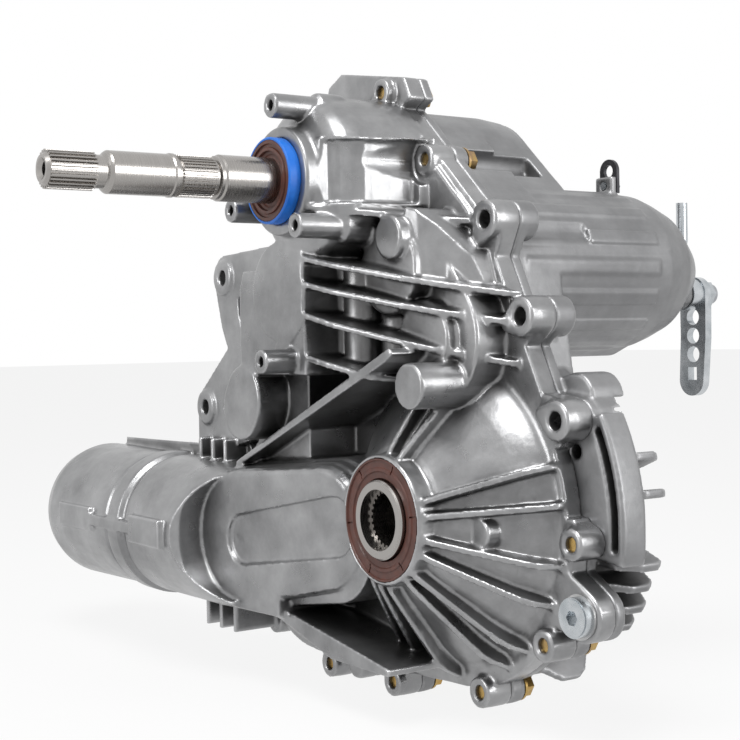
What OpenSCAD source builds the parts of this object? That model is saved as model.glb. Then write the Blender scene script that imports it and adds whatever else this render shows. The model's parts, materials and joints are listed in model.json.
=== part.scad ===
// Gearcase and transaxle of a light off-road vehicle, split case with long front drive tube.
// Frame: origin in the mouth of the left output hub, on the output axis.
// +X forward along the front drive tube, +Y left along the input shaft, +Z up. Millimetres.

/* [Axes] */
// Input shaft, forward of the output axis
input_x = 74; // [60:1:90]
// Input shaft, above the output axis
input_z = 204; // [195:1:215]
// Main shaft, forward of the output axis
main_x = 16; // [12:1:20]
// Main shaft, above the output axis
main_z = 148; // [144:1:152]
// Front drive tube axis, below the output axis
tube_drop = 28.15; // [26:0.05:30]
// Front drive tube axis, right of the left hub mouth
tube_y = -14; // [-16:1:-12]

/* [Case] */
// Parting plane of the two case halves
seam_y = -68; // [-72:1:-66]
// Right hub mouth
right_y = -144; // [-150:1:-140]
// Wall of the castings
wall = 6; // [5:0.5:8]
// Radius of the front drive tube
tube_r = 52; // [50:0.5:54]
// Front end of the drive tube
tube_end = 428; // [400:1:440]
// Radius of the long main shaft housing
house_r = 51; // [50:0.5:54]
// End of the long housing
house_end = -262; // [-270:1:-255]
// Thickness of the cast ribs
rib_t = 4; // [3:0.5:6]

/* [Shafts] */
// Radius of the input shaft in its seal
input_r = 14; // [13:0.5:15]
// End of the input shaft
input_tip = 173; // [160:1:180]
// Radius of the output hub sleeve
hub_r = 23.5; // [23:0.5:24.5]
// Teeth of the output hub spline
hub_teeth = 28; // [24:1:32]
// Radius of the shift shaft
shift_r = 7; // [6:0.5:8]

/* [Gears] */
// Teeth of the reverse driver on the input shaft
z_ra = 24; // [22:1:24]
// Teeth of the reverse idler
z_ri = 35; // [35:1:36]
// Teeth of the reverse gear on the main shaft
z_rb = 34; // [33:1:34]
// Teeth of the forward driver on the input shaft
z_fa = 33; // [32:1:33]
// Teeth of the forward gear on the main shaft
z_fb = 37; // [36:1:37]
// Teeth of the pinion on the main shaft
z_mp = 15; // [14:1:16]
// Teeth of the gear on the lay shaft
z_lg = 26; // [25:1:27]
// Teeth of the final drive pinion
z_fp = 13; // [13:1:13]
// Teeth of the output ring gear
z_ring = 52; // [52:1:52]
// Teeth of the transfer gear
z_tr = 44; // [44:1:44]
// Pitch radius of the output ring gear
ring_pr = 84; // [83.5:0.1:84.5]
// Width of the forward and reverse gears
gear_w = 11; // [9:0.5:12]
// Left face of the reverse gears
rev_y = -101; // [-103:0.5:-100]

/* [Fits] */
// Radial running fit of a shaft in its bearing
fit = 0.03; // [0.02:0.01:0.08]
// Gap between turning parts and the case
gap = 0.6; // [0.4:0.1:1]

/* [Preview] */
// Sub-part to build

/* [Hidden] */
$fn = 64;
e = 0.02;
O = [0, 0];
I = [input_x, input_z];
M = [main_x, main_z];
m_rev = 2.4;
a_ic = m_rev*(z_ra + z_ri)/2;
a_cm = m_rev*(z_ri + z_rb)/2;
a_im = norm(M - I);
ic_x = (a_ic*a_ic - a_cm*a_cm + a_im*a_im)/(2*a_im);
ic_h = sqrt(a_ic*a_ic - ic_x*ic_x);
im_u = (M - I)/a_im;
// idler axis, in front of the input and main shafts
C = I + ic_x*im_u + ic_h*[-im_u[1], im_u[0]];
m_fin = 2*ring_pr/z_ring;
a_lo = m_fin*(z_fp + z_ring)/2;
a_ot = m_fin*(z_tr + z_ring)/2;
// lay shaft axis, above the output axis
lay_ang = 95.5;
S = a_lo*[cos(lay_ang), sin(lay_ang)];
a_ml = norm(M - S);
T = [sqrt(a_ot*a_ot - tube_drop*tube_drop), -tube_drop];
// shift rail and shift shaft
R = [52, 108];
L = [12, 133];
// screw of the cable bracket
FOOT = L + [8, 21];
// faces of the reverse gears, the forward gears and the sliding dog between them
rev_y0 = rev_y - gear_w;
fwd_y1 = rev_y0 - 26;
fwd_y0 = fwd_y1 - gear_w;
dog_y = (rev_y0 + fwd_y1)/2;
// inner face of the idler bearing in the right case
idl_y = rev_y0 - 2;
// cam drum of the shift shaft
drum_y = -224;
// vent pipe and harness tab screw
VENT = [12, 165];
vent_y = house_end - 0.5;
TAB = [main_x, main_z + 57];

// helpers
function u2(a) = [cos(a), sin(a)];
module yext(y0, y1) translate([0, y1, 0]) rotate([90, 0, 0]) linear_extrude(y1 - y0) children();
module ycyl(p, r, y0, y1) translate([p[0], y1, p[1]]) rotate([90, 0, 0]) cylinder(r = r, h = y1 - y0);
module ycone(p, r0, r1, y0, y1) translate([p[0], y0, p[1]]) rotate([-90, 0, 0]) cylinder(r1 = r0,
  r2 = r1, h = y1 - y0);
module xcyl(y, z, r, x0, x1) translate([x0, y, z]) rotate([0, 90, 0]) cylinder(r = r, h = x1 - x0);
module yrev(p) translate([p[0], 0, p[1]]) rotate([-90, 0, 0]) rotate_extrude($fn = 96) children();
// bar between two circles; its sides lie a hair inside the tangents, so that they cut the circles cleanly
module slab(p, rp, q, rq) {
  d = norm(q - p); f = atan2(q[1] - p[1], q[0] - p[0]); b = acos((rp - rq)/d); s = e;
  translate(p) circle(rp, $fn = 96);
  translate(q) circle(rq, $fn = 96);
  polygon([p + (rp - s)*u2(f + b), q + (rq - s)*u2(f + b), q + (rq - s)*u2(f - b), p + (rp - s)*u2(f - b)]);
}
module outline(ri, rm, rc, ro, rt) {
  slab(I, ri, M, rm); slab(M, rm, O, ro); slab(O, ro, T, rt); slab(C, rc, T, rt); slab(I, ri, C, rc);
  polygon([I, C, T, O, M]);
}
module gear2(z, pr, ph) {
  m = 2*pr/z; rr = pr - 1.25*m; rt = pr + 0.88*m; p = 360/z;
  rotate(ph) polygon([for (i = [0:z - 1]) for (k = [[-0.31, rr], [-0.13, rt], [0.13, rt], [0.31, rr]])
    (k[1])*u2((i + k[0])*p)]);
}
function mate(z1, z2, ph, f) = f + 180 - (ph - f)*z1/z2 - 180/z2;
function dir(p, q) = atan2(q[1] - p[1], q[0] - p[0]);
module ygear(p, z, pr, ph, y0, y1, bore) yext(y0, y1) translate(p) difference() { gear2(z, pr, ph);
  circle(bore); }
module bearing(p, ro, ri, y0, y1) yrev(p) difference() {
  translate([ri, y0]) square([ro - ri, y1 - y0]);
  translate([ri + (ro - ri)*0.32, y0 - 1]) square([(ro - ri)*0.36, 2]);
  translate([ri + (ro - ri)*0.32, y1 - 1]) square([(ro - ri)*0.36, 2]);
}
module star(n, r0, r1) polygon([for (i = [0:n - 1]) for (k = [[-0.3, r0], [-0.17, r1], [0.17, r1],
  [0.3, r0]])
  k[1]*u2((i + k[0])*360/n)]);

// tooth phases, each gear set to its neighbour
ph_i = 0;
ph_c = mate(z_ra, z_ri, ph_i, dir(I, C));
ph_rb = mate(z_ri, z_rb, ph_c, dir(C, M));
ph_fb = mate(z_fa, z_fb, ph_i, dir(I, M));
ph_o = 0;
ph_s = mate(z_ring, z_fp, ph_o, dir(O, S));
ph_t = mate(z_ring, z_tr, ph_o, dir(O, T));
ph_m = mate(z_lg, z_mp, ph_s, dir(S, M));
pr_fa = a_im*z_fa/(z_fa + z_fb);
pr_fb = a_im*z_fb/(z_fa + z_fb);
pr_mp = a_ml*z_mp/(z_mp + z_lg);
pr_lg = a_ml*z_lg/(z_mp + z_lg);

// bolt circle of the parting flange, mount holes and clutch cover bosses
BOLTS = [[63, 262], [18, 215], [-108, -8], [-84, -67], [-27, -104], [62, -114], [136, -115], [208, -96],
  [243, -20], [216, 42], [176, 118], [142, 206]];
MOUNTS = [[-39, 174], [-69, 117], [-97, 59]];
DOWELS = [[112, 244], [108, -112]];
FRAME = [[209, 151], [238, 59]];
boss_l = -50;
boss_r = -79;
// directions of the ribs on the left dome
DOME_RIBS = [96, 112, 160, 173, 193, 207, 228, 240, 268, 282, 293];
// drain and level plug
PLUG = [-110, -47.5];
plug_y = -55.5;

// left case
module flange_plan() {
  outline(53, 54, 54, 105, 83);
  for (b = BOLTS) slab(b, 9.5, b*0.82 + 0.18*[70, 60], 12);
  for (b = MOUNTS) slab(b, 12, b*0.8 + 0.2*[40, 60], 16);
  for (b = DOWELS) slab(b, 9, b*0.85 + 0.15*[70, 60], 12);
  slab(PLUG, 15, [-84, -36], 19);
  polygon([[38, 256], [45, 270], [116, 283], [132, 276], [138, 240], [100, 225]]);
}
module rib_plate(p, a, pts, t) translate([p[0], 0, p[1]]) rotate([0, -a, 0]) translate([0, 0, -t/2])
  linear_extrude(t) polygon(pts);
module fin(z, tilt, pts) translate([70, 0, z - rib_t/2]) rotate([0, -tilt, 0]) linear_extrude(rib_t)
  polygon(pts);
module dome_outer() yrev(O) polygon([[0, seam_y], [98, seam_y], [98, -58], [91, -54], [86, -48], [79,
  -41], [50, -19],
  [43, -14], [39, -12], [38.5, -1], [37.5, 0], [0, 0]]);
module dome_inner() yrev(O) polygon([[0, seam_y - 1], [90, seam_y - 1], [90, -60], [84, -54], [76,
  -46], [50, -28],
  [33, -28], [33, -24], [0, -24]]);
module hood() difference() {
  union() {
    yrev(I) polygon([[0, -57], [54, -57], [54, -30], [52, -10], [50, -2], [47, 3], [42, 7], [36, 9.5],
      [33.5, 12], [33.5, 19],
      [32.5, 20], [0, 20]]);
    // box shaped wall under the ledge
    translate([0, 0, 186]) linear_extrude(42) polygon([[41, 10], [60, 10], [60, -57], [14, -57], [19,
      -44], [26, -24], [33, -14], [37, -4]]);
  }
  // the side is set back under the ledge
  translate([0, 0, 188]) linear_extrude(38) polygon([[40.5, 20], [40.5, 4], [36, 1], [33, -8], [29,
    -14], [29, -20], [26, -40],
    [26, -47], [0, -47], [0, 20]]);
  ycyl([15, 214], 15, -56, 30);
}
module left_case() color([0.72, 0.73, 0.74]) difference() {
  union() {
    yext(seam_y, -56) flange_plan();
    for (b = BOLTS) ycyl(b, 9.3, -57, boss_l);
    for (b = DOWELS) ycyl(b, 8.5, -57, -53);
    for (b = MOUNTS) yext(-57, boss_l) slab(b, 11.5, b + 12*[-b[0] + 10, 90 - b[1]]/norm([10 - b[0],
      90 - b[1]]), 5);
    // body of the upper case
    yext(-57, -52) outline(50, 50, 51, 50, 80);
    yext(-57, -34) slab(M, 33, S, 41);
    yext(-35, -20) translate(M) circle(28);
    yext(-35, -26) translate(S) circle(24);
    // stepped closed boss beside the main shaft
    ycyl([7, 166], 16, -47, -24);
    ycyl([7, 166], 13.3, -25, -14);
    // input shaft dome
    hood();
    // three bosses for the clutch cover, evenly spaced about the input shaft
    for (a = [101, 221, 341]) { ycyl(I + 45.5*u2(a), 7.6, -20, 30); ycyl(I + 45.5*u2(a), 10, -20, -2); }
    ycyl([83, 93], 7.6, -47, 30);
    // round machined pads
    ycyl(C, 31, -47, 8);
    yext(-47, 8) slab([146, 68], 22, [150, 62], 22);
    // wavy wall that the fins stand on
    intersection() {
      yext(-57, 8) outline(48, 48, 49, 90, 60);
      translate([0, 0, 84]) linear_extrude(68) {
        polygon([[150, -57], [150, 6], [69, 6], [66, -18], [40, -32], [20, -38], [-34, -52], [-42, -57]]);
        for (c = [[50, -27, 13], [24, -36, 12], [-6, -44, 11], [-28, -50, 9]]) translate([c[0], c[1]])
          circle(c[2]);
      }
    }
    // smooth web on the right of the stepped boss
    intersection() {
      translate([0, 0, 120]) linear_extrude(70) polygon([[0, -21], [-10, -24], [-34, -40], [-42, -48],
        [-46, -57], [0, -57]]);
      yext(-58, -10) polygon([[2, 184], [-8, 182], [-20, 172], [-36, 154], [-42, 136], [2, 140]]);
    }
    // cooling fins that run from the pad to the flange
    fin(189, 9, [[-24, 19], [-32, 8], [-44, -4], [-60, -17], [-78, -31], [-90, -42], [-97, -50], [-102,
      -57], [0, -57], [0, 19]]);
    for (f = [[156.8, 11.6], [140.8, 11.7], [121.6, 13.5]]) fin(f[0], f[1], [[30, 7.5], [0, 7.7], [-30,
      4], [-60, -6], [-80, -13],
      [-100, -24], [-118, -38], [-132, -49], [-138, -57], [40, -57]]);
    fin(95, 11.7, [[34, 7.5], [18, 7.7], [-20, 4], [-60, -4], [-66, -20], [-66, -47], [34, -47]]);
    // flat web between the round pad and the fins
    intersection() {
      yext(-20, 7.6) polygon([[100, 164], [76, 163], [68.5, 160], [68, 117], [84, 104], [88, 96], [100,
        100]]);
      yext(-21, 8) slab(C, 60, [150, 62], 64);
    }
    // long plain closed boss
    ycyl([-27.7, 78.5], 13.4, -57, -2);
    // gusset from the tongue up to the fins
    yext(-58, -1) polygon([[172, 20], [172, 24.5], [-10, 100.5], [-14, 97], [-6, 92]]);
    // lower gusset
    yext(-50, -2) polygon([[150, -68], [146, -64], [-4, -88], [-2, -92.5], [60, -92]]);
    yext(-58, -46) polygon([[150, -66], [60, -60], [0, -80], [0, -90.6], [100, -92.4]]);
    dome_outer();
    // ribs of the dome
    for (a = DOME_RIBS) rib_plate(O, a, [[30, -20], [37.5, -3], [43, -5], [58, -15], [82, -32], [90,
      -38], [95, -44],
      [99, -52], [102, -58], [80, -58]], rib_t);
    // closed boss in the dome
    ycyl([-62, -4], 8.5, -50, -24);
    // tongue over the transfer shaft, its face falls away to the hub
    tilted() for (t = [[0, 42], [-1.5, 44], [-4.5, 45.5], [-10, 47], [-18, 49]])
      yext(-57, t[0]) slab([156, -25], t[1], [62, -11], t[1] - 6);
    yext(-57, -6) slab([160, -28], 46, [60, -16], 42);
    // transfer gear bulge
    ycyl(T, 80, seam_y, -50);
    yrev(T) polygon([[0, -51], [78, -51], [60, -40], [48, -30], [0, -30]]);
    front_tube_outer();
    frame_plate();
    // boss of the drain and level plug
    yext(-62, plug_y) slab(PLUG, 15, [-84, -36], 18);
  }
  dome_inner();
  // gear spaces
  yext(seam_y - 1, -58) outline(44, 45, 46, 50, 75);
  yext(-60, -40) slab(M, 27, S, 35.5);
  ycyl(T, 75, seam_y - 1, -56);
  ycyl(T, 36, -57, -34);
  ycyl(T, 27.5, -35, -17);
  ycyl(T, 19, -35, -8.5);
  // tongue pocket
  tilted() yext(-3.5, 40) slab([150, -26], 17, [50, -9], 19);
  // bearing seats
  ycyl(I, 26, 2, 60); ycyl(I, 22, -60, 3);
  ycyl(C, 18, -16, -4); ycyl(C, 15, -60, -15);
  ycyl(M, 21, -34, -24); ycyl(M, 18, -60, -33);
  ycyl(S, 17, -40.5, -31); ycyl(T, 13, -9, 0);
  ycyl(O, 36, -9, 1); ycyl(O, 27, -30, 1); ycyl(O, 36, -28, -13);
  ycyl(R, 6 + fit, -70, -39.5);
  // screw holes of the bosses
  for (a = [101, 221, 341]) ycyl(I + 45.5*u2(a), 3.3, 8, 31);
  ycyl([83, 93], 3.3, 8, 31);
  for (b = BOLTS) ycyl(b, 4.3, seam_y - 1, boss_l + 1);
  for (b = MOUNTS) ycyl(b, 5.25, seam_y - 1, boss_l + 1);
  for (b = DOWELS) ycyl(b, 5, seam_y - 1, -60);
  ycyl(PLUG, 7.5, -66, plug_y + 1);
  // the flange leaves the face of the right case open beside the dome
  rear_sector(99, 150, -80, -40, 155, 177);
  front_tube_inner();
  // flat back, nothing stands past the parting plane
  translate([-300, seam_y - 60, -300]) cube([900, 60, 800]);
}

// front drive tube, part of the left case
module xrev() translate([0, tube_y, T[1]]) rotate([0, 90, 0]) rotate_extrude($fn = 96) children();
module tilted() translate([45, 0, 0]) rotate([0, 0, 4.5]) translate([-45, 0, 0]) children();
module front_tube_outer() {
  difference() {
    xrev() polygon([[0, 110], [tube_r - 4, 110], [tube_r - 1.5, 190], [tube_r - 1, 271], [tube_r - 3,
      273], [tube_r - 3, 277],
      [tube_r + 1, 279], [tube_r + 1, 297], [tube_r - 3, 299], [tube_r - 3, 303], [tube_r - 1, 305],
        [tube_r + 1, 405],
      [tube_r - 2, 417], [tube_r - 8, 425], [tube_r - 15, tube_end], [0, tube_end]]);
    // the near side ends in a rounded step round the tongue
    tilted() {
      yext(-0.5, 60) translate([156, -25]) circle(43);
      translate([60, -0.5, -125]) cube([96, 60, 200]);
      ycone([156, -25], 43, 50, 19, 28);
    }
  }
  // flat ridge on the far side and moulding pads on the near side
  intersection() {
    xrev() polygon([[0, 190], [tube_r + 9, 190], [tube_r + 7, 395], [0, 395]]);
    translate([190, tube_y - 44, 8]) cube([210, 34, 40]);
  }
  for (p = [[210, 258, 10], [326, 384, 9], [250, 330, 4]]) translate([p[0], tube_y + tube_r - 12,
    T[1] + 2 - p[2]])
    cube([p[1] - p[0], 14.6, 2*p[2]]);
  // three ribs above and below the root
  for (x = [204, 224, 244]) translate([x, seam_y + 6, T[1] - 72]) cube([rib_t, 46, 50]);
  for (x = [196, 214, 232]) translate([x, seam_y + 4, T[1] + 20]) cube([rib_t, 58, 46]);
}
module front_tube_inner() {
  xcyl(tube_y, T[1], tube_r - wall - 1, 207, tube_end - 22);
  xcyl(tube_y, T[1], 18.4, 150, 208);
  xcyl(tube_y, T[1], 26, tube_end - 30, tube_end + 1);
}
module frame_plate() difference() {
  union() {
    yext(-26, -16) slab(FRAME[0], 16, [203, 120], 13);
    yext(-26, -16) slab([203, 120], 13, [192, 98], 12);
    yext(-26, -16) slab([192, 98], 12, FRAME[1], 15);
    yext(-26, -16) slab(FRAME[1], 15, [241, 36], 13);
    yext(-26, -16) slab(FRAME[0], 16, [140, 156], 14);
    yext(-26, -16) slab([198, 104], 9, [140, 104], 14);
    yext(-26, -16) slab([241, 36], 13, [150, 60], 16);
    yext(-57, -16) polygon([[120, 166], [146, 158], [156, 120], [164, 40], [200, 10], [100, 10], [100,
      150]]);
    for (b = FRAME) ycyl(b, 12.5, -28, -13);
  }
  for (b = FRAME) ycyl(b, 5.25, -60, 0);
}

// right case
module right_case() color([0.68, 0.69, 0.70]) {
  right_shell();
  // inner boss that carries the lay shaft bearing
  difference() {
    yext(rev_y + gap, -89) slab(S, 21, S - [13, -1.3], 21);
    ycyl(S, 17, -110, -80);
  }
}
module rear_sector(r0, r1, y0, y1, a0, a1) yext(y0, y1) intersection() {
  difference() { circle(r1, $fn = 96); circle(r0, $fn = 96); }
  polygon([[0, 0], 150*u2(a0), 170*u2((a0 + a1)/2), 150*u2(a1)]);
}
module right_shell() difference() {
  union() {
    yext(-75, seam_y) flange_plan();
    for (b = BOLTS) ycyl(b, 9.3, boss_r, -74);
    for (b = MOUNTS) ycyl(b, 12, boss_r - 4, -74);
    for (b = DOWELS) ycyl(b, 8.5, -79, -74);
    yrev(O) polygon([[0, -74], [98, -74], [98, -104], [92, -114], [52, -126], [44, -130], [38.5, -132],
      [38.5, -143], [37.5, right_y], [0, right_y]]);
    yext(-112, -74) outline(49, house_r, 51, 60, 80);
    yrev(T) polygon([[0, -100], [80, -100], [74, -112], [30, -118], [0, -118]]);
    // input shaft end
    yrev(I) polygon([[0, -74], [49, -74], [49, -128], [47, -146], [38, -150], [30, -154], [30, -166],
      [26, -170], [0, -170]]);
    yext(-150, -74) slab(I, 46, M, house_r - 3);
    yrev(C) polygon([[0, -74], [51, -74], [51, -116], [40, -124], [26, -129], [24, -132], [0, -132]]);
    // long fluted housing of the main shaft and its cone
    yrev(M) polygon([[0, -74], [house_r, -74], [house_r, -210], [house_r - 3, -220], [42, -236], [24,
      house_end + 2], [22, house_end], [0, house_end]]);
    yext(-236, -74) slab(M, 40, R, 17);
    for (a = [70:22:290]) translate([M[0], 0, M[1]]) rotate([0, -a, 0]) translate([house_r - 4, -198,
      -4.5]) cube([5.4, 112, 9]);
    // stub for the shift shaft
    ycyl(L, 10.5, house_end - 6, house_end + 20);
    // lug for the harness tab, seat for the vent and pad for the cable bracket
    translate([TAB[0] - 8, -203, TAB[1] - 12]) cube([16, 5, 18]);
    ycyl(VENT, 7, house_end, -240);
    // rear lobe and ribs of the lower drum
    yext(-98, -74) slab([-88, 70], 15, [-40, 40], 30);
    for (a = [[162, 124], [172, 125], [191.5, 122], [198.5, 118], [205, 118], [212.5, 115], [242, 112],
      [268, 110], [280, 110]])
      rib_plate(O, a[0], [[36, -128], [52, -128], [98, -118], [a[1] - 4, -112], [a[1], -106], [a[1],
        -94], [a[1] - 8, -80],
        [90, -74], [36, -74]], rib_t + 1);
    // curved lip outside the flange
    rear_sector(90, 131, -86, seam_y, 151, 189);
    yext(-90, -74) slab([-97, 59], 13, [-60, 40], 20);
    yext(boss_r, -74) slab([-109, -8], 11, [-70, -6], 16);
    for (x = [-14, 18, 50]) translate([x, -128, -104]) cube([rib_t, 48, 40]);
  }
  // groove between the lip and the inner face, threaded hole in the face
  rear_sector(121, 126, -84, -60, 153.5, 186);
  ycyl([-94, 41], 4.2, -84, -60);
  // gear spaces
  yrev(O) polygon([[0, -60], [90, -60], [90, -100], [84, -108], [50, -116], [33, -116], [33, -120], [0,
    -120]]);
  yext(-104, seam_y + 1) outline(44, 45, 46, 50, 75);
  yext(rev_y0 - gap, -100) translate(C) circle(46);
  ycyl(T, 75, -104, seam_y + 1);
  ycyl(M, 45.6, -160, -100);
  yext(fwd_y0 - gap, -100) translate(I) circle(42);
  yext(fwd_y0 - gap, -100) slab(I, 30, M, 40);
  yext(-160, -100) slab(M, 30, R, 11);
  // seat of the main bearing, passage of the fork sleeve and room for the cam drum
  ycyl(M, 24, -177, -159);
  ycyl(M, 17, -181, -159);
  ycyl(R, 8.5 + gap, -181, -159);
  yrev(M) polygon([[0, -180], [42, -180], [45, -186], [45, -206], [42.5, -216], [36, -235], [36, -238],
    [0, -238]]);
  yext(-238, -180) slab(M, 30, R, 11);
  ycyl(L, 19 + gap, drum_y - 10 - gap, drum_y + 10 + gap);
  // bearing seats
  ycyl(I, 20, -163, -148); ycyl(C, 18, idl_y - 11.5, idl_y + 0.5); ycyl(C, 15, idl_y, -90);
  ycyl(T, 17, -112, -100);
  ycyl(O, 36, right_y - 1, right_y + 9); ycyl(O, 27, right_y - 1, right_y + 30);
    ycyl(O, 36, right_y + 13, right_y + 28);
  ycyl(L, shift_r + fit, house_end - 8, -230);
  for (b = BOLTS) ycyl(b, 4.3, boss_r - 1, seam_y + 1);
  for (b = MOUNTS) { ycyl(b, 5.25, boss_r - 20, seam_y + 1); ycyl(b, 12.5, -140, boss_r - 4); }
  // room for a socket round the bolt heads
  for (b = BOLTS) ycyl(b, 10.5, -140, boss_r);
  for (b = DOWELS) ycyl(b, 5, -76, seam_y + 1);
  // seat of the vent pipe and screw holes
  ycyl(VENT, 3.92, -270, -245);
  ycyl(FOOT, 2.7, house_end - 1, house_end + 10);
  ycyl(TAB, 2.7, -204, -197.5);
  translate([-300, seam_y, -300]) cube([900, 120, 800]);
}

// input side
module input_shaft() color([0.76, 0.77, 0.79]) difference() {
  union() {
    // plain stem through both bearings, then the seal journal and the clutch end
    yrev(I) polygon([[0, -162], [9.5, -162], [10 - fit, -161], [10 - fit, -150], [15, -150], [15, 1.5],
      [14.5 - fit, 1.5], [14.5 - fit, 18],
      [input_r, 18], [input_r, 62], [13, 63], [13, 65], [11, 66], [11, 92], [13, 93], [13, 95], [12.5,
        96], [12.5, 134],
      [11.9, 135], [11, 136], [9.6, 137], [9.6, 143], [9.4, 144], [9.4, input_tip - 2], [8, input_tip],
        [0, input_tip]]);
    yext(68, 90) translate(I) star(34, 11.6, 12.6);
    yext(143, input_tip - 2) translate(I) star(25, 9.6, 11.2);
    ygear(I, z_ra, m_rev*z_ra/2, ph_i, rev_y0, rev_y, 10);
    ygear(I, z_fa, pr_fa, ph_i, fwd_y0, fwd_y1, 10);
    ycyl(I, 19, fwd_y1 - e, fwd_y1 + 4); ycyl(I, 19, rev_y - e, rev_y + 4);
  }
  // centre drilling with a threaded bolt hole
  ycyl(I, 4.2, input_tip - 34, input_tip + 1);
  ycone(I, 4.2, 6.4, input_tip - 2.2, input_tip + 0.1);
}
module input_seal() color([0.30, 0.16, 0.11]) yrev(I) difference() {
  polygon([[16, 20.5], [25, 20.5], [25, 27.2], [24.4, 27.8], [22.6, 27.8], [22.2, 26.6], [20.6, 26.6],
    [20.2, 27.6],
    [18.4, 27.6], [18, 25.6], [16.4, 25.2], [input_r + fit, 26.2], [input_r + fit, 24.8], [15.6, 23.6]]);
}
module input_seal_band() color([0.05, 0.28, 0.72]) yrev(I) polygon([[25, 17.4], [26, 17.4], [26, 20],
  [26.6, 20.4], [26.6, 27], [26, 27.6], [25, 27.6]]);
module input_bearings() color([0.70, 0.72, 0.75]) { bearing(I, 26, 14.5, 2, 17);
  bearing(I, 20, 10, -162, -151); }
module idler_gear() color([0.66, 0.67, 0.70]) {
  ygear(C, z_ri, m_rev*z_ri/2, ph_c, rev_y0, rev_y, 11);
  yrev(C) polygon([[0, idl_y - 10.5], [9 - fit, idl_y - 10.5], [9 - fit, idl_y + 0.4], [13,
    idl_y + 0.5], [13, rev_y + 3],
    [11, rev_y + 4], [11, -16.7], [9 - fit, -16.3], [9 - fit, -5], [0, -5]]);
}
module idler_bearings() color([0.70, 0.72, 0.75]) { bearing(C, 18, 9, -16, -4.5);
  bearing(C, 18, 9, idl_y - 11, idl_y); }

// main shaft
module main_shaft() color([0.68, 0.69, 0.72]) {
  ygear(M, z_mp, pr_mp, ph_m, -56, -42, 10);
  yrev(M) polygon([[0, -176], [12 - fit, -176], [12 - fit, -164.6], [15, -164], [15, fwd_y0 - 4],
    [13.5, fwd_y0 - 3],
    [13.5, fwd_y1 + 1], [15, fwd_y1 + 1.4], [15, rev_y0 - 2], [13.5, rev_y0 - 1.6], [13.5, rev_y + 2],
      [16, rev_y + 3], [16, rev_y + 9], [12, rev_y + 10], [12, -57], [12, -35.5], [11 - fit, -34.5],
      [11 - fit, -25], [0, -25]]);
  yext(fwd_y1 + 3, rev_y0 - 3) translate(M) star(20, 14.8, 17);
}
module main_bearings() color([0.70, 0.72, 0.75]) { bearing(M, 21, 11, -34, -24);
  bearing(M, 24, 12, -176.5, -165);  }
module dog_teeth(p, y0, y1, ph) for (i = [0:5]) yext(y0, y1) translate(p) rotate(ph + i*60)
  difference() { intersection() { circle(27); polygon([[0, 0], [60, -13], [60, 13]]); } circle(20.5); }
module free_gear(z, pr, ph, y0, y1, side) {
  ygear(M, z, pr, ph, y0, y1, 13.5 + fit);
  difference() { dog_teeth(M, side > 0 ? y1 - e : y0 - 4, side > 0 ? y1 + 4 : y0 + e, 30);
    ycyl(M, 20.5, y0 - 10, y1 + 10); }
}
module forward_gear() color([0.66, 0.67, 0.70]) free_gear(z_fb, pr_fb, ph_fb, fwd_y0, fwd_y1, 1);
module reverse_gear() color([0.66, 0.67, 0.70]) free_gear(z_rb, m_rev*z_rb/2, ph_rb, rev_y0, rev_y, -1);
module shift_dog() color([0.60, 0.61, 0.64]) {
  difference() {
    yrev(M) polygon([[17.4, dog_y - 7], [28, dog_y - 7], [28, dog_y - 3.5], [24, dog_y - 3], [24,
      dog_y + 3], [28, dog_y + 3.5],
      [28, dog_y + 7], [17.4, dog_y + 7]]);
    yext(dog_y - 8, dog_y + 8) translate(M) star(20, 15.2, 17.5);
  }
}

// final drive
module lay_shaft() color([0.64, 0.65, 0.68]) {
  ygear(S, z_lg, pr_lg, ph_s, -56, -43, 9);
  ygear(S, z_fp, m_fin*z_fp/2, ph_s, -86, -58.5, 9);
  yrev(S) polygon([[0, -99.6], [8 - fit, -99.6], [8 - fit, -89.2], [11, -88.6], [11, -41.5], [8 - fit,
    -40.6], [8 - fit, -31.5], [0, -31.5]]);
}
module lay_bearings() color([0.70, 0.72, 0.75]) { bearing(S, 17, 8, -40, -31);
  bearing(S, 17, 8, -99.8, -89.8); }
module output_hub() color([0.74, 0.75, 0.77]) difference() {
  yrev(O) polygon([[0, right_y - 1.5], [hub_r - 1, right_y - 1.5], [hub_r, right_y - 0.5], [hub_r,
    right_y + 12], [25 - fit, right_y + 13],
    [25 - fit, right_y + 28.4], [30, right_y + 28.6],
    [30, -92], [27, -91], [27, -52], [30, -51], [30, -28.6], [25 - fit, -28.4], [25 - fit, -13],
      [hub_r, -12], [hub_r, 0.5], [hub_r - 1, 1.5], [0, 1.5]]);
  // splined bores with a plain pilot at each mouth
  yext(-46, 2) translate(O) star(hub_teeth, 15.6, 17.2);
  yext(right_y - 2, right_y + 46) translate(O) star(hub_teeth, 15.6, 17.2);
  ycyl(O, 18, -6, 3); ycyl(O, 18, right_y - 3, right_y + 6);
  ycyl(O, 15.6, -60, 3); ycyl(O, 15.6, right_y - 3, right_y + 60);
}
module ring_gear() color([0.62, 0.63, 0.66]) difference() {
  union() { ygear(O, z_ring, ring_pr, ph_o, -84, -60, 27); ycyl(O, 38, -88, -56); }
  ycyl(O, 27, -100, -50);
  for (i = [0:5]) ycyl(58*u2(i*60 + 30), 12, -90, -50);
  yrev(O) { translate([42, -90]) square([32, 12]); translate([42, -66]) square([32, 12]); }
}
module hub_bearings() color([0.70, 0.72, 0.75]) { bearing(O, 36, 25, -28, -13);
  bearing(O, 36, 25, right_y + 13, right_y + 28); }
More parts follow.
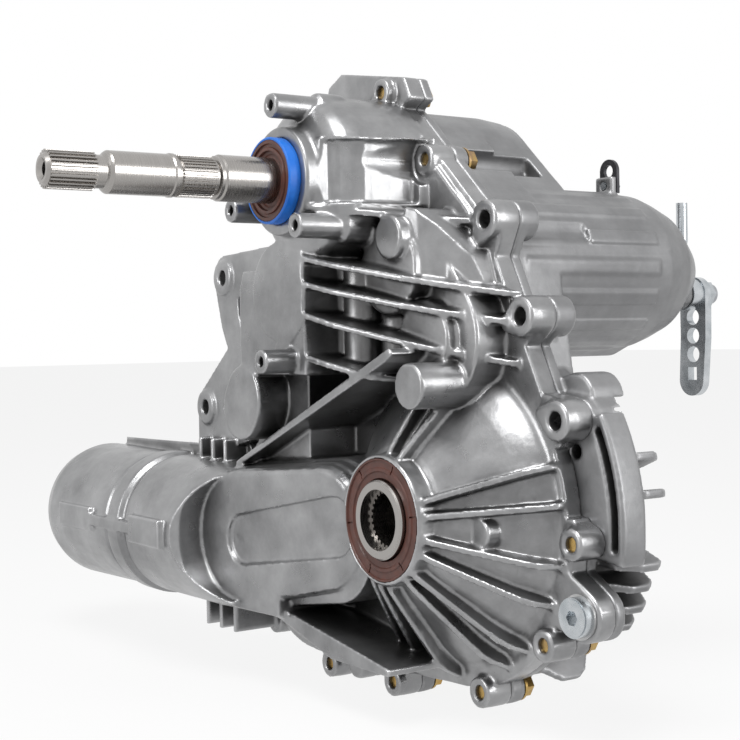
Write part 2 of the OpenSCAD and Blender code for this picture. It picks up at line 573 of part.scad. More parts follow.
module hub_seal_2d(y, s) {
  polygon([[hub_r + fit + 1, y - s*1.6], [28, y - s*1.2], [28.6, y - s*0.4], [30.4, y - s*0.4], [31,
    y - s*1], [34.6, y - s*1],
    [35, y - s*0.2], [36, y - s*0.2], [36, y - s*8], [34, y - s*8], [34, y - s*3], [27, y - s*3.4],
      [26, y - s*7], [hub_r + fit, y - s*5.6],
    [hub_r + fit, y - s*4.4], [hub_r + 1, y - s*3]]);
}
module left_hub_seal() color([0.33, 0.17, 0.12]) difference() {
  yrev(O) hub_seal_2d(0, 1);
  for (i = [0:5]) translate([0, -0.5, 0]) rotate([0, i*60 + 8, 0]) translate([29, -1.2, -0.5]) cube([6,
    3, 1]);
}
module right_hub_seal() color([0.33, 0.17, 0.12]) yrev(O) hub_seal_2d(right_y, -1);

// front drive
bev_pr = 24; bev_pp = 16; bev_z = 21; bev_zp = 14; bev_len = 11;
module bevel(r0, len, ang, z, bore, ph) difference() {
  // cone with straight tooth gaps cut along its surface
  union() { cylinder(r1 = r0 + 1.1, r2 = r0 + 1.1 - len*sin(ang), h = len*cos(ang));
    translate([0, 0, -5]) cylinder(r1 = r0 - 4, r2 = r0 + 1.1, h = 5 + e); }
  for (i = [0:z - 1]) rotate([0, 0, ph + (i + 0.5)*360/z]) translate([r0, 0, 0]) rotate([0, -ang, 0])
    translate([-1.5, 0, -9]) linear_extrude(len + 12) polygon([[0, -1.25], [0, 1.25], [6, 4.1], [6, -4.1]]);
  translate([0, 0, -20]) cylinder(r = bore, h = 60);
}
module transfer_shaft() color([0.64, 0.65, 0.68]) {
  ygear(T, z_tr, m_fin*z_tr/2, ph_t, -82, -62, 11);
  yrev(T) polygon([[0, -111], [9 - fit, -111], [9 - fit, -100.8], [13, -100], [13, -84], [16, -83],
    [16, -58], [13, -57], [13, -35.2], [8, -35], [8, -9.6],
    [7 - fit, -8.8], [7 - fit, -1], [0, -1]]);
}
module transfer_bearings() color([0.70, 0.72, 0.75]) { bearing(T, 13, 7, -8.5, -0.5);
  bearing(T, 17, 9, -111.5, -101); }
module bevel_gear() color([0.62, 0.63, 0.66]) translate([T[0], tube_y - bev_pp, T[1]]) rotate([-90, 0,
  0]) bevel(bev_pr, bev_len, atan2(bev_pr, bev_pp), bev_z, 8, 0);
module front_shaft() color([0.70, 0.71, 0.74]) {
  translate([T[0] + bev_pr, tube_y, T[1]]) rotate([0, -90, 0]) bevel(bev_pp, bev_len, atan2(bev_pp,
    bev_pr), bev_zp, 0.1, 0);
  translate([0, tube_y, T[1]]) rotate([0, 90, 0]) rotate_extrude() polygon([[0, 172], [10, 172], [12,
    182], [12, 206], [16, 206], [16, 207], [15 - fit, 207.4], [15 - fit, 222], [13, 223], [13, 384],
    [12.5 - fit, 385], [12.5 - fit, 400], [12, 401], [12, 424], [11, 425], [11, 440], [9.5, 441], [9.5,
      451], [8.5, 452], [0, 452]]);
  translate([426, tube_y, T[1]]) rotate([90, 0, 90]) linear_extrude(14) star(22, 10.6, 12);
}
module front_bearings() color([0.70, 0.72, 0.75]) {
  for (b = [[208, 222, 15, tube_r - wall - 1], [386, 400, 12.5, tube_r - wall - 1]]) xrev() difference() {
    translate([b[2], b[0]]) square([b[3] - b[2], b[1] - b[0]]);
    for (x = [b[0] - 1, b[1] - 1]) translate([b[2] + (b[3] - b[2])*0.33, x])
      square([(b[3] - b[2])*0.34, 2]);
  }
}
module front_seal() color([0.20, 0.20, 0.21]) translate([0, tube_y, T[1]]) rotate([0, 90, 0])
  rotate_extrude()
  polygon([[26, 414], [26, 424], [24, 424], [23, 422.5], [15, 422.5], [13.4, 423], [12 + fit, 421],
    [12 + fit, 419.6], [14, 418], [22, 419], [23, 414]]);

// shift
module shift_fork() color([0.62, 0.60, 0.52]) difference() {
  union() {
    ycyl(R, 10.5, dog_y - 9.5, dog_y + 9.5);
    yext(dog_y - 2.4, dog_y + 2.4) difference() { union() { translate(M) circle(31);
      slab(M, 12, R, 10); } translate(M) circle(24.4);
      translate(M) rotate(dir(R, M)) translate([4, -40]) square([60, 80]); }
    // follower arm that rides in the groove of the drum
    ycyl(R, 8.5, drum_y - 10, dog_y + 15);
    yext(drum_y - 2.2, drum_y + 2.2) slab(R, 8, L + 20.5*u2(dir(L, R)), 3);
  }
  ycyl(R, 6 + e/2, -250, -90);
}
module shift_rail() color([0.74, 0.75, 0.77]) yrev(R) polygon([[0, -236], [5, -236], [6, -235], [6,
  -43], [5, -42.5], [0, -42.5]]);
module shift_shaft() color([0.55, 0.56, 0.58]) {
  ycyl(L, shift_r, -296, drum_y);
  difference() {
    ycyl(L, 19, drum_y - 10, drum_y + 10);
    // slanted cam groove round the drum
    translate([L[0], drum_y, L[1]]) rotate([0, -dir(L, R), 0]) rotate([90 + 14, 0, 0]) rotate_extrude()
      translate([16, -3.2]) square([12, 6.4]);
  }
}
module shift_lever() color([0.45, 0.46, 0.47]) difference() {
  union() {
    yext(-284, -278) { slab(L, 11.8, L + [0, -30], 11.5); slab(L + [0, -30], 11.5, L + [2, -60], 11); }
    ycyl(L, 11, -284, house_end - 6.3);
  }
  ycyl(L, shift_r, -300, -260);
  for (k = [[16, 5.6], [29, 5.6], [42, 5.6]]) ycyl(L + [0, -k[0]], k[1], -290, -270);
  translate([L[0] - 3, -290, L[1] - 60]) cube([8, 20, 9]);
}
module lever_nut() color([0.70, 0.70, 0.66]) difference() {
  union() { yext(-292, -285.6) translate(L) circle(9.4, $fn = 6); ycyl(L, 10, -285.6, -284); }
  ycyl(L, shift_r, -300, -280);
}

// small parts of the case
module cable_bracket() color([0.62, 0.66, 0.70]) difference() {
  union() {
    yext(house_end - 2.5, house_end) slab(FOOT, 7, FOOT + [3, 0], 6.5);
    translate([FOOT[0] + 7, 0, 0]) rotate([90, 0, 90]) linear_extrude(2.5) slab([house_end - 6,
      FOOT[1]], 6, [-288, FOOT[1] - 3], 8.5);
    translate([FOOT[0] + 6, house_end - 9, FOOT[1] - 6]) cube([3.5, 9, 12]);
  }
  translate([0, house_end, 100]) cube([60, 30, 100]);
  xcyl(-288, FOOT[1] - 3, 4.6, 10, 40);
  ycyl(FOOT, 3.3, house_end - 5, house_end + 1);
}
module harness_tab() color([0.25, 0.26, 0.27]) difference() {
  yext(-205.5, -203) { translate(TAB + [0, 10]) circle(8); translate(TAB - [8, 5]) square([16, 15]); }
  ycyl(TAB + [0, 10], 4.2, -210, -200);
  ycyl(TAB, 3.3, -210, -200);
}
module vent_pipe() color([0.70, 0.72, 0.73]) difference() {
  union() {
    ycyl(VENT, 3.9, vent_y, -246);
    // quarter bend
    intersection() {
      translate([VENT[0], vent_y, VENT[1] + 6]) rotate([0, 90, 0]) rotate_extrude() translate([6, 0])
        circle(3.9);
      translate([VENT[0] - 10, vent_y - 15, VENT[1] - 10]) cube([20, 15, 16]);
    }
    translate([VENT[0], vent_y - 6, VENT[1] + 6]) cylinder(r = 3.9, h = 25);
  }
  translate([VENT[0], vent_y - 6, VENT[1] + 10]) cylinder(r = 2.6, h = 30);
}
module drain_plug() color([0.78, 0.79, 0.80]) difference() {
  union() {
    ycyl(PLUG, 11.2, plug_y + 1.5, plug_y + 6);
    ycyl(PLUG, 10.4, plug_y + 5.8, plug_y + 6.6);
    ycyl(PLUG, 7.4, plug_y - 8, plug_y + 2);
  }
  yext(plug_y + 2, plug_y + 8) translate(PLUG) circle(4.5, $fn = 6);
}
module plug_washer() color([0.62, 0.62, 0.60]) yrev(PLUG) translate([7.4, plug_y]) square([5.2, 1.5]);
module case_bolts() color([0.72, 0.60, 0.28]) for (b = BOLTS) {
  ycyl(b, 3.95, boss_r - 1, boss_l - 3);
  yext(boss_r - 8, boss_r - 1.6) translate(b) circle(7.4, $fn = 6);
  ycyl(b, 9, boss_r - 1.6, boss_r);
}
module bracket_screws() color([0.72, 0.72, 0.70]) {
  ycyl(FOOT, 2.65, house_end - 3, house_end + 9); yext(house_end - 6, house_end - 2.5) translate(FOOT)
    circle(4.6, $fn = 6);
  ycyl(TAB, 2.65, -206, -198.2); yext(-209.5, -205.5) translate(TAB) circle(4.6, $fn = 6);
}
module dowels() color([0.70, 0.71, 0.73]) for (b = DOWELS) ycyl(b, 5, -75.5, -60.5);

left_case();
right_case();
input_shaft();
input_seal();
input_seal_band();
input_bearings();
idler_gear();
idler_bearings();
main_shaft();
main_bearings();
forward_gear();
reverse_gear();
shift_dog();
lay_shaft();
lay_bearings();
output_hub();
ring_gear();
hub_bearings();
left_hub_seal();
right_hub_seal();
transfer_shaft();
transfer_bearings();
bevel_gear();
front_shaft();
front_bearings();
front_seal();
shift_fork();
shift_rail();
shift_shaft();
shift_lever();
lever_nut();
cable_bracket();
harness_tab();
vent_pipe();
drain_plug();
plug_washer();
case_bolts();
bracket_screws();
dowels();
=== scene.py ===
import json
import math

import bpy
import numpy as np
from mathutils import Matrix, Vector
from mathutils.bvhtree import BVHTree


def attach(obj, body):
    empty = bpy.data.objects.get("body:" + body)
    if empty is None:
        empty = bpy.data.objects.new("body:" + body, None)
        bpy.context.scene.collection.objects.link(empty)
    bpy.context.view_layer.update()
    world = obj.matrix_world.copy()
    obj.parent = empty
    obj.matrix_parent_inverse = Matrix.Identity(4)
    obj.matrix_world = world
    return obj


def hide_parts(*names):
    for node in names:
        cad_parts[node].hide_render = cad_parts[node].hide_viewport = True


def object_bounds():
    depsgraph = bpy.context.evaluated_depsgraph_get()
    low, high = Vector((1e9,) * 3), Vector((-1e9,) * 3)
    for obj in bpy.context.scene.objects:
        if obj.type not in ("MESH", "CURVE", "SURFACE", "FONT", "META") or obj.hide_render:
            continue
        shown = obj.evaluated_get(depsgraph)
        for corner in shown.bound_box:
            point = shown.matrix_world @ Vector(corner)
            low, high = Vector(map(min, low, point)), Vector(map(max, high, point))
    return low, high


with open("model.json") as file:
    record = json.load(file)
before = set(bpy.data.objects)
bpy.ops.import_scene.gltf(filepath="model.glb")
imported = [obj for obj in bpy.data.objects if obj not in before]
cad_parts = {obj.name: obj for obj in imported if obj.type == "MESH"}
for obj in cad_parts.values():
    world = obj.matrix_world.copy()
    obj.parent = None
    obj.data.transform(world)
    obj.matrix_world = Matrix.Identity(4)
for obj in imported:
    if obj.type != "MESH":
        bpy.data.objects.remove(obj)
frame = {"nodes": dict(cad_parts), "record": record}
cad_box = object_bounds()
nodes = frame["nodes"]
scene = bpy.context.scene
scene.view_settings.view_transform = "Standard"

MM = 0.001

# Materials. Every finish is built from noise on the object's own coordinates.


def new_material(name):
    mat = bpy.data.materials.new(name)
    mat.use_nodes = True
    tree = mat.node_tree
    shader = next(n for n in tree.nodes if n.type == "BSDF_PRINCIPLED")
    coords = tree.nodes.new("ShaderNodeTexCoord")
    return mat, tree, shader, coords.outputs["Object"]


def mapping(tree, source, scale):
    m = tree.nodes.new("ShaderNodeMapping")
    m.inputs["Scale"].default_value = scale
    tree.links.new(source, m.inputs["Vector"])
    return m.outputs["Vector"]


def noise(tree, source, scale, detail=3.0, rough=0.55):
    n = tree.nodes.new("ShaderNodeTexNoise")
    n.inputs["Scale"].default_value = scale
    n.inputs["Detail"].default_value = detail
    n.inputs["Roughness"].default_value = rough
    tree.links.new(source, n.inputs["Vector"])
    return n.outputs["Fac"]


def ramp(tree, source, stops):
    r = tree.nodes.new("ShaderNodeValToRGB")
    e = r.color_ramp.elements
    e[0].position, e[0].color = stops[0][0], (*stops[0][1], 1)
    e[1].position, e[1].color = stops[-1][0], (*stops[-1][1], 1)
    for p, c in stops[1:-1]:
        k = e.new(p)
        k.color = (*c, 1)
    tree.links.new(source, r.inputs["Fac"])
    return r.outputs["Color"]


def remap(tree, source, low, high, to_low, to_high):
    m = tree.nodes.new("ShaderNodeMapRange")
    limits = (("From Min", low), ("From Max", high), ("To Min", to_low), ("To Max", to_high))
    for socket, value in limits:
        m.inputs[socket].default_value = value
    tree.links.new(source, m.inputs["Value"])
    return m.outputs["Result"]


def math_node(tree, operation, a, b):
    m = tree.nodes.new("ShaderNodeMath")
    m.operation = operation
    for socket, value in zip(m.inputs, (a, b)):
        if isinstance(value, (int, float)):
            socket.default_value = value
        else:
            tree.links.new(value, socket)
    return m.outputs[0]


def mixed(tree, kind, factor, a, b):
    """Mixes two colours: kind is the blend type, factor a socket or a number."""
    m = tree.nodes.new("ShaderNodeMix")
    m.data_type = "RGBA"
    m.blend_type = kind
    if isinstance(factor, (int, float)):
        m.inputs[0].default_value = factor
    else:
        tree.links.new(factor, m.inputs[0])
    for socket, value in ((m.inputs[6], a), (m.inputs[7], b)):
        if isinstance(value, tuple):
            socket.default_value = (*value, 1)
        else:
            tree.links.new(value, socket)
    return m.outputs[2]


def bump(tree, shader, heights):
    """Adds the heights up as bumps: (source, strength, distance in metres)."""
    last = None
    for source, strength, distance in heights:
        b = tree.nodes.new("ShaderNodeBump")
        b.inputs["Strength"].default_value = strength
        b.inputs["Distance"].default_value = distance
        tree.links.new(source, b.inputs["Height"])
        if last:
            tree.links.new(last, b.inputs["Normal"])
        last = b.outputs["Normal"]
    tree.links.new(last, shader.inputs["Normal"])


def attribute(tree, name):
    a = tree.nodes.new("ShaderNodeAttribute")
    a.attribute_name = name
    return a.outputs["Fac"]


def cast_aluminium(name, dark, light, rough_low, rough_high):
    """Pressure-cast skin: cloudy grey, with painted shade darkening the recesses, and outer edges lightened
    partly as rubbed wear and partly as a painted highlight.

    The piece carries two attributes: "open" is 0 deep in a recess and 1 in the open, and "edge" is
    0.5 on a flat, more on an outer edge and less in a corner.
    """
    mat, tree, shader, obj = new_material(name)
    middle = [0.5 * (a + b) for a, b in zip(dark, light)]
    cloud = noise(tree, obj, 16, 6, 0.62)
    tone = ramp(tree, cloud, [(0.34, dark), (0.5, middle), (0.66, light)])
    streak = noise(tree, mapping(tree, obj, (60, 14, 60)), 1, 4, 0.6)
    streak_tone = ramp(tree, streak, [(0.3, (0.8, 0.8, 0.8)), (0.7, (1.1, 1.1, 1.1))])
    tone = mixed(tree, "MULTIPLY", 0.5, tone, streak_tone)
    # painted shade: the base colour is darkened down to a tenth deep in recesses, where shade falls
    painted_shade_stops = [(0.12, (0.1, 0.098, 0.096)), (0.45, (0.5, 0.495, 0.49)), (0.8, (1, 1, 1))]
    painted_shade = ramp(tree, attribute(tree, "open"), painted_shade_stops)
    tone = mixed(tree, "MULTIPLY", 1.0, tone, painted_shade)
    # outer edges: rubbed smoother and brighter as wear, and also lightened as a painted highlight
    wear_and_painted_highlight = remap(tree, attribute(tree, "edge"), 0.6, 0.9, 0.0, 0.7)
    tone = mixed(tree, "MIX", wear_and_painted_highlight, tone, tuple(min(1.0, 1.7 * c) for c in light))
    tree.links.new(tone, shader.inputs["Base Color"])
    shader.inputs["Metallic"].default_value = 0.85
    patch = remap(tree, noise(tree, obj, 60, 4), 0.3, 0.7, rough_low, rough_high)
    smoother = math_node(tree, "MULTIPLY", wear_and_painted_highlight, 0.1)
    tree.links.new(math_node(tree, "SUBTRACT", patch, smoother), shader.inputs["Roughness"])
    waves, dents, grain = noise(tree, obj, 34, 3), noise(tree, obj, 210, 3), noise(tree, obj, 1100, 2)
    bump(tree, shader, [(waves, 0.42, 0.0012), (dents, 0.3, 0.0003), (grain, 0.4, 0.00009)])
    return mat


def turned_steel(name, colour, rough, axis, ring_scale=2600):
    """Ground or turned steel, with fine rings round one axis."""
    mat, tree, shader, obj = new_material(name)
    scale = [6, 6, 6]
    scale["XYZ".index(axis)] = ring_scale
    rings = noise(tree, mapping(tree, obj, scale), 1, 3, 0.7)
    dull, bright = [c * 0.93 for c in colour], [min(1, c * 1.05) for c in colour]
    tone = ramp(tree, rings, [(0.3, dull), (0.7, bright)])
    tree.links.new(tone, shader.inputs["Base Color"])
    shader.inputs["Metallic"].default_value = 1
    tree.links.new(remap(tree, rings, 0.3, 0.7, rough - 0.03, rough + 0.04), shader.inputs["Roughness"])
    bump(tree, shader, [(rings, 0.06, 0.00003)])
    return mat


def moulded_rubber(name, dark, light, rough=0.42):
    mat, tree, shader, obj = new_material(name)
    tone = ramp(tree, noise(tree, obj, 120, 4), [(0.3, dark), (0.7, light)])
    tree.links.new(tone, shader.inputs["Base Color"])
    gloss = remap(tree, noise(tree, obj, 300, 3), 0.3, 0.7, rough - 0.08, rough + 0.1)
    tree.links.new(gloss, shader.inputs["Roughness"])
    shader.inputs["Specular IOR Level"].default_value = 0.45
    bump(tree, shader, [(noise(tree, obj, 1400, 2), 0.2, 0.00006)])
    return mat


def plated(name, stops, rough_low, rough_high, grain=260):
    """Plated steel with a slow change of tint over the part."""
    mat, tree, shader, obj = new_material(name)
    tree.links.new(ramp(tree, noise(tree, obj, 90, 4), stops), shader.inputs["Base Color"])
    shader.inputs["Metallic"].default_value = 1
    gloss = remap(tree, noise(tree, obj, grain, 3), 0.3, 0.7, rough_low, rough_high)
    tree.links.new(gloss, shader.inputs["Roughness"])
    bump(tree, shader, [(noise(tree, obj, 700, 2), 0.15, 0.00008)])
    return mat


finish = {
    "cast_left": cast_aluminium("cast_left", (0.21, 0.211, 0.215), (0.37, 0.371, 0.376), 0.26, 0.38),
    "cast_right": cast_aluminium("cast_right", (0.2, 0.201, 0.205), (0.3, 0.301, 0.306), 0.38, 0.52),
    "ground_steel": turned_steel("ground_steel", (0.36, 0.345, 0.33), 0.26, "Y"),
    "gear_steel": turned_steel("gear_steel", (0.36, 0.37, 0.39), 0.32, "Y", 900),
    "bearing_steel": turned_steel("bearing_steel", (0.5, 0.51, 0.52), 0.2, "Y", 1500),
    "seal_rubber": moulded_rubber("seal_rubber", (0.055, 0.017, 0.011), (0.10, 0.03, 0.019)),
    "seal_black": moulded_rubber("seal_black", (0.012, 0.012, 0.012), (0.025, 0.025, 0.025)),
    "seal_band_blue": moulded_rubber("seal_band_blue", (0.008, 0.13, 0.56), (0.012, 0.17, 0.66)),
    "fork_bronze": plated("fork_bronze", [(0.3, (0.32, 0.25, 0.13)), (0.7, (0.42, 0.33, 0.17))], 0.3, 0.45),
    "zinc_plate": plated("zinc_plate", [(0.3, (0.40, 0.43, 0.45)), (0.7, (0.58, 0.60, 0.62))], 0.18, 0.34),
    "dark_plate": plated("dark_plate", [(0.3, (0.05, 0.05, 0.055)), (0.7, (0.09, 0.09, 0.095))], 0.35, 0.5),
    "plain_washer": plated("plain_washer", [(0.3, (0.42, 0.42, 0.42)), (0.7, (0.52, 0.52, 0.52))], 0.3, 0.42),
    "yellow_zinc": plated("yellow_zinc", [(0.3, (0.42, 0.25, 0.07)), (0.5, (0.48, 0.33, 0.12)),
                                          (0.7, (0.30, 0.20, 0.13))], 0.2, 0.4),
}

for part in frame["record"]["subparts"]:
    node = nodes[part["node"]]
    node.data.materials.clear()
    node.data.materials.append(finish[part["material_slot"]])

# Cast skins: a fine remesh with soft corners, a measure of where the skin is open (used for painted shade in
# recesses), and a measure of outer edges (used for rubbed wear and a painted highlight).

VOXEL = 1.15 * MM
SMOOTH_PASSES = 5
TRIANGLES = 190_000
RAYS = 14
RECESS_REACH = 34 * MM
EDGE_RADIUS = 3.0 * MM


def apply_modifier(piece, kind, **settings):
    m = piece.modifiers.new(kind.lower(), kind)
    for key, value in settings.items():
        setattr(m, key, value)
    bpy.ops.object.modifier_apply(modifier=m.name)


def edge_wear_and_highlight(mesh, normals, places):
    """How far each point stands out of its neighbours, 0.5 on a flat."""
    pairs = np.empty(len(mesh.edges) * 2, dtype=np.int32)
    mesh.edges.foreach_get("vertices", pairs)
    pairs = pairs.reshape(-1, 2)
    both = np.concatenate([pairs, pairs[:, ::-1]])
    step = places[both[:, 1]] - places[both[:, 0]]
    length = np.maximum(np.linalg.norm(step, axis=1), 1e-6)
    bend = -np.einsum("ij,ij->i", normals[both[:, 0]], step) / length ** 2
    count = np.maximum(np.bincount(both[:, 0], minlength=len(places)), 1)
    curve = np.bincount(both[:, 0], bend, len(places)) / count
    for _ in range(3):
        curve = 0.4 * curve + 0.6 * np.bincount(both[:, 0], curve[both[:, 1]], len(places)) / count
    return np.clip(0.5 + 0.5 * EDGE_RADIUS * curve, 0, 1)


def openness(mesh, normals, places):
    """Share of the rays from each point that leave the casting, cosine weighted."""
    tree = BVHTree.FromPolygons(places.tolist(), [p.vertices[:] for p in mesh.polygons])
    turn = math.pi * (3 - math.sqrt(5))
    share = (np.arange(RAYS) + 0.5) / RAYS
    reach, angle = np.sqrt(share), turn * np.arange(RAYS)
    local = np.stack([reach * np.cos(angle), reach * np.sin(angle), np.sqrt(1 - share)], axis=1)
    helper = np.where(np.abs(normals[:, 2:3]) < 0.9, [[0.0, 0.0, 1.0]], [[1.0, 0.0, 0.0]])
    tangent = np.cross(helper, normals)
    tangent /= np.maximum(np.linalg.norm(tangent, axis=1, keepdims=True), 1e-9)
    side = np.cross(normals, tangent)
    clear = np.zeros(len(places))
    starts = (places + normals * 0.4 * MM).tolist()
    for a, b, c in local:
        rays = (a * tangent + b * side + c * normals).tolist()
        for i, (start, ray) in enumerate(zip(starts, rays)):
            hit = tree.ray_cast(start, ray, RECESS_REACH)
            clear[i] += 1 if hit[3] is None else 0.6 * hit[3] / RECESS_REACH
    return clear / RAYS


def store(mesh, name, values):
    layer = mesh.attributes.new(name, "FLOAT", "POINT")
    layer.data.foreach_set("value", values.astype(np.float32))


# Forms that close the right casting where its solid is open or thinner than a cast wall, in millimetres.

INPUT_AXIS, MAIN_AXIS, RAIL_AXIS = Vector((74, 0, 204)), Vector((16, 0, 148)), Vector((52, 0, 108))
NEAR_BOLT = Vector((18, 0, 215))
ROUND = 72
ALONG_Y = (math.radians(90), 0, 0)


def begin_edit():
    bpy.ops.object.mode_set(mode="EDIT")
    bpy.ops.mesh.select_all(action="SELECT")


def tapered_bar(ends, y_front, y_back):
    """A bar between two round ends, each (axis, front radius, back radius), closed by a hull."""
    bpy.ops.object.select_all(action="DESELECT")
    made = []
    for axis, front, rear in ends:
        place = Vector((axis.x, 0.5 * (y_front + y_back), axis.z)) * MM
        bpy.ops.mesh.primitive_cone_add(vertices=ROUND, radius1=front * MM, radius2=rear * MM, location=place,
                                        depth=(y_front - y_back) * MM, rotation=ALONG_Y)
        made.append(bpy.context.active_object)
    for piece in made:
        piece.select_set(True)
    bpy.ops.object.join()
    begin_edit()
    bpy.ops.mesh.convex_hull()
    bpy.ops.object.mode_set(mode="OBJECT")
    bar = bpy.context.active_object
    bpy.ops.object.transform_apply(location=True, rotation=True, scale=True)
    return bar


def keep_side(piece, point, outward):
    """Cuts a piece at a plane and keeps what lies against the outward direction."""
    bpy.ops.object.select_all(action="DESELECT")
    bpy.context.view_layer.objects.active = piece
    piece.select_set(True)
    begin_edit()
    bpy.ops.mesh.bisect(plane_co=point * MM, plane_no=outward, use_fill=True, clear_outer=True)
    bpy.ops.object.mode_set(mode="OBJECT")
    return piece


def round_wall(axis, radius, thickness, y_front, y_back):
    """A short tube wall along y."""
    bpy.ops.object.select_all(action="DESELECT")
    place = Vector((axis.x, 0.5 * (y_front + y_back), axis.z)) * MM
    bpy.ops.mesh.primitive_cylinder_add(vertices=ROUND, radius=radius * MM, depth=(y_front - y_back) * MM,
                                        location=place, rotation=ALONG_Y, end_fill_type="NOTHING")
    tube = bpy.context.active_object
    bpy.ops.object.transform_apply(location=True, rotation=True, scale=True)
    apply_modifier(tube, "SOLIDIFY", thickness=thickness * MM, offset=1.0)
    begin_edit()
    bpy.ops.mesh.normals_make_consistent(inside=False)
    bpy.ops.object.mode_set(mode="OBJECT")
    return tube


def closing_forms():
    """The rear wall over the gears, the end of the rail's room, and the pocket and boss of one bolt."""
    gear_end = tapered_bar([(INPUT_AXIS, 46.5, 42), (MAIN_AXIS, 47, 43)], -149.65, -153.6)
    to_rail = (RAIL_AXIS - MAIN_AXIS).normalized()
    rail_end = tapered_bar([(MAIN_AXIS, 40, 34), (RAIL_AXIS, 17, 12.5)], -236.2, -243)
    keep_side(rail_end, MAIN_AXIS + 30 * to_rail, -to_rail)
    # the rail needs its room behind it when the fork slides back
    room = tapered_bar([(MAIN_AXIS, 30, 30), (RAIL_AXIS, 11, 11)], -230, -238.3)
    bpy.ops.object.select_all(action="DESELECT")
    bpy.context.view_layer.objects.active = rail_end
    apply_modifier(rail_end, "BOOLEAN", operation="DIFFERENCE", object=room, solver="EXACT")
    bpy.data.objects.remove(room)
    across = Vector((INPUT_AXIS.z - MAIN_AXIS.z, 0, MAIN_AXIS.x - INPUT_AXIS.x)).normalized()
    across = across if across.dot(NEAR_BOLT - MAIN_AXIS) > 0 else -across
    pocket = keep_side(round_wall(NEAR_BOLT, 10.5, 2.6, -78.5, -106.5), NEAR_BOLT - 1.0 * across, across)
    boss = keep_side(round_wall(NEAR_BOLT, 4.3, 8.8, -68.2, -79.2), NEAR_BOLT - 1.0 * across, across)
    return [gear_end, rail_end, pocket, boss]


# The two castings, each a remeshed copy of its solid.


def casting(node_name, piece_name, forms=()):
    """A remeshed copy of a case half with the given forms, which replaces the half's plain solid."""
    piece = bpy.data.objects.new(piece_name, nodes[node_name].data.copy())
    scene.collection.objects.link(piece)
    bpy.ops.object.select_all(action="DESELECT")
    for part in (piece, *forms):
        part.select_set(True)
    bpy.context.view_layer.objects.active = piece
    if forms:
        bpy.ops.object.join()
    begin_edit()
    bpy.ops.mesh.remove_doubles(threshold=1e-6)
    bpy.ops.object.mode_set(mode="OBJECT")
    apply_modifier(piece, "REMESH", mode="VOXEL", voxel_size=VOXEL)
    apply_modifier(piece, "SMOOTH", factor=0.5, iterations=SMOOTH_PASSES)
    faces = sum(len(p.vertices) - 2 for p in piece.data.polygons)
    if faces > TRIANGLES:
        apply_modifier(piece, "DECIMATE", ratio=TRIANGLES / faces)
    bpy.ops.object.shade_smooth()
    mesh = piece.data
    places = np.empty(len(mesh.vertices) * 3)
    normals = np.empty(len(mesh.vertices) * 3)
    mesh.vertices.foreach_get("co", places)
    mesh.vertices.foreach_get("normal", normals)
    places, normals = places.reshape(-1, 3), normals.reshape(-1, 3)
    # "edge" drives rubbed wear and a painted highlight on outer edges; "open" drives painted shade in
    # recesses
    store(mesh, "edge", edge_wear_and_highlight(mesh, normals, places))
    store(mesh, "open", openness(mesh, normals, places))
    slot = next(p["material_slot"] for p in frame["record"]["subparts"] if p["node"] == node_name)
    mesh.materials.clear()
    mesh.materials.append(finish[slot])
    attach(piece, "case")
    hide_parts(node_name)


casting("left_case", "left_casting")
casting("right_case", "right_casting", closing_forms())

# Camera, at the place that the photograph was taken from.

VIEW_PLACE = (-0.6911, 0.4806, 0.1056)
AZIMUTH, ELEVATION, ROLL = math.radians(235.45), math.radians(1.21), math.radians(-1.09)
FOCAL_PIXELS, IMAGE_PIXELS = 1444.5, 740
SENSOR = 36

flat = math.cos(ELEVATION)
back = Vector((math.sin(AZIMUTH) * flat, -math.cos(AZIMUTH) * flat, math.sin(ELEVATION)))
right = Vector((math.cos(AZIMUTH), math.sin(AZIMUTH), 0))
up = back.cross(right)
right, up = math.cos(ROLL) * right + math.sin(ROLL) * up, math.cos(ROLL) * up - math.sin(ROLL) * right
camera = bpy.data.objects.new("camera", bpy.data.cameras.new("camera"))
scene.collection.objects.link(camera)
turned = Matrix((right, up, back)).transposed().to_4x4()
camera.matrix_world = Matrix.Translation(VIEW_PLACE) @ turned
camera.data.sensor_width = SENSOR
camera.data.lens = SENSOR * FOCAL_PIXELS / IMAGE_PIXELS
camera.data.clip_start = 0.05
camera.data.clip_end = 50
scene.camera = camera

# Floor, lamps and world.


def seen_directly(tree, share=1.0):
    """The share on camera, glossy and transmission rays, and 0 on the rest."""
    path = tree.nodes.new("ShaderNodeLightPath")
    seen = path.outputs["Is Camera Ray"]
    for ray in ("Is Glossy Ray", "Is Transmission Ray"):
        seen = math_node(tree, "MAXIMUM", seen, path.outputs[ray])
    return math_node(tree, "MULTIPLY", seen, share)


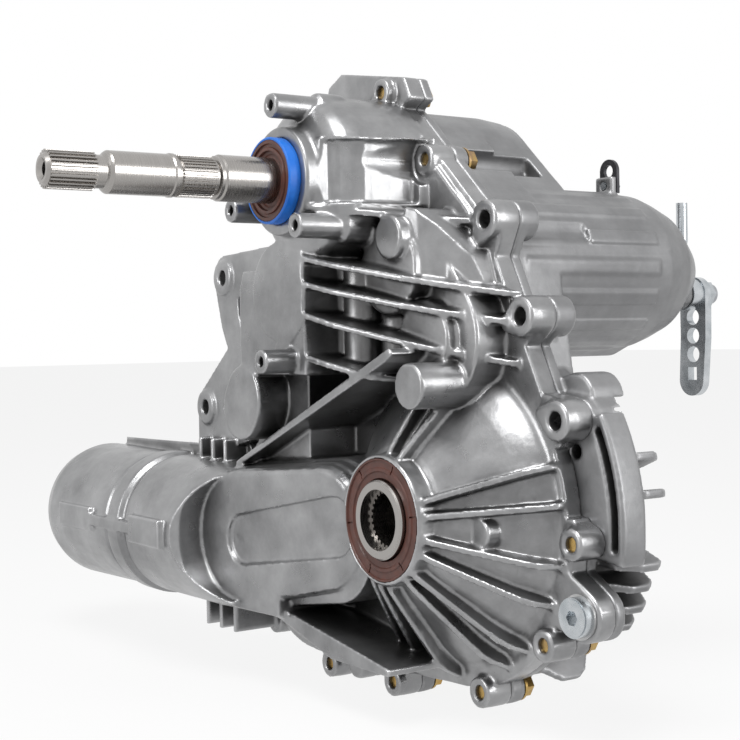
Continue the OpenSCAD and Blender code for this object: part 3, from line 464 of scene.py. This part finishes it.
bpy.ops.object.select_all(action="DESELECT")
bpy.ops.mesh.primitive_plane_add(size=30, location=(0, 0, cad_box[0][2] - 0.5 * MM))
floor = bpy.context.active_object
floor.name = "floor"
paint, tree, shader, _ = new_material("floor_paint")
shader.inputs["Base Color"].default_value = (0.8, 0.8, 0.8, 1)
shader.inputs["Roughness"].default_value = 0.9
shader.inputs["Specular IOR Level"].default_value = 0.0
glow = tree.nodes.new("ShaderNodeEmission")
glow.inputs["Color"].default_value = (1, 1, 1, 1)
mix = tree.nodes.new("ShaderNodeMixShader")
tree.links.new(seen_directly(tree, 0.88), mix.inputs[0])
tree.links.new(shader.outputs[0], mix.inputs[1])
tree.links.new(glow.outputs[0], mix.inputs[2])
tree.links.new(mix.outputs[0], tree.nodes["Material Output"].inputs["Surface"])
floor.data.materials.append(paint)

world = bpy.data.worlds.new("studio")
scene.world = world
world.use_nodes = True
tree = world.node_tree
soft = tree.nodes["Background"]
soft.inputs["Color"].default_value = (1, 1, 1, 1)
soft.inputs["Strength"].default_value = 0.2
white = tree.nodes.new("ShaderNodeBackground")
white.inputs["Color"].default_value = (1, 1, 1, 1)
mix = tree.nodes.new("ShaderNodeMixShader")
tree.links.new(seen_directly(tree), mix.inputs[0])
tree.links.new(soft.outputs[0], mix.inputs[1])
tree.links.new(white.outputs[0], mix.inputs[2])
tree.links.new(mix.outputs[0], tree.nodes["World Output"].inputs["Surface"])


def softbox(name, place, target, size, power):
    lamp = bpy.data.lights.new(name, "AREA")
    lamp.shape = "RECTANGLE"
    lamp.size, lamp.size_y = size
    lamp.energy = power
    obj = bpy.data.objects.new(name, lamp)
    scene.collection.objects.link(obj)
    obj.location = place
    obj.rotation_euler = (Vector(target) - Vector(place)).to_track_quat("-Z", "Y").to_euler()


centre = (0.05, -0.05, 0.08)
softbox("key", (-0.5, 0.6, 1.7), centre, (0.9, 0.9), 30)
softbox("side", (-1.6, -0.7, 0.5), centre, (0.5, 1.0), 12)
softbox("fill", (0.5, 1.8, 0.6), centre, (0.7, 0.9), 10)
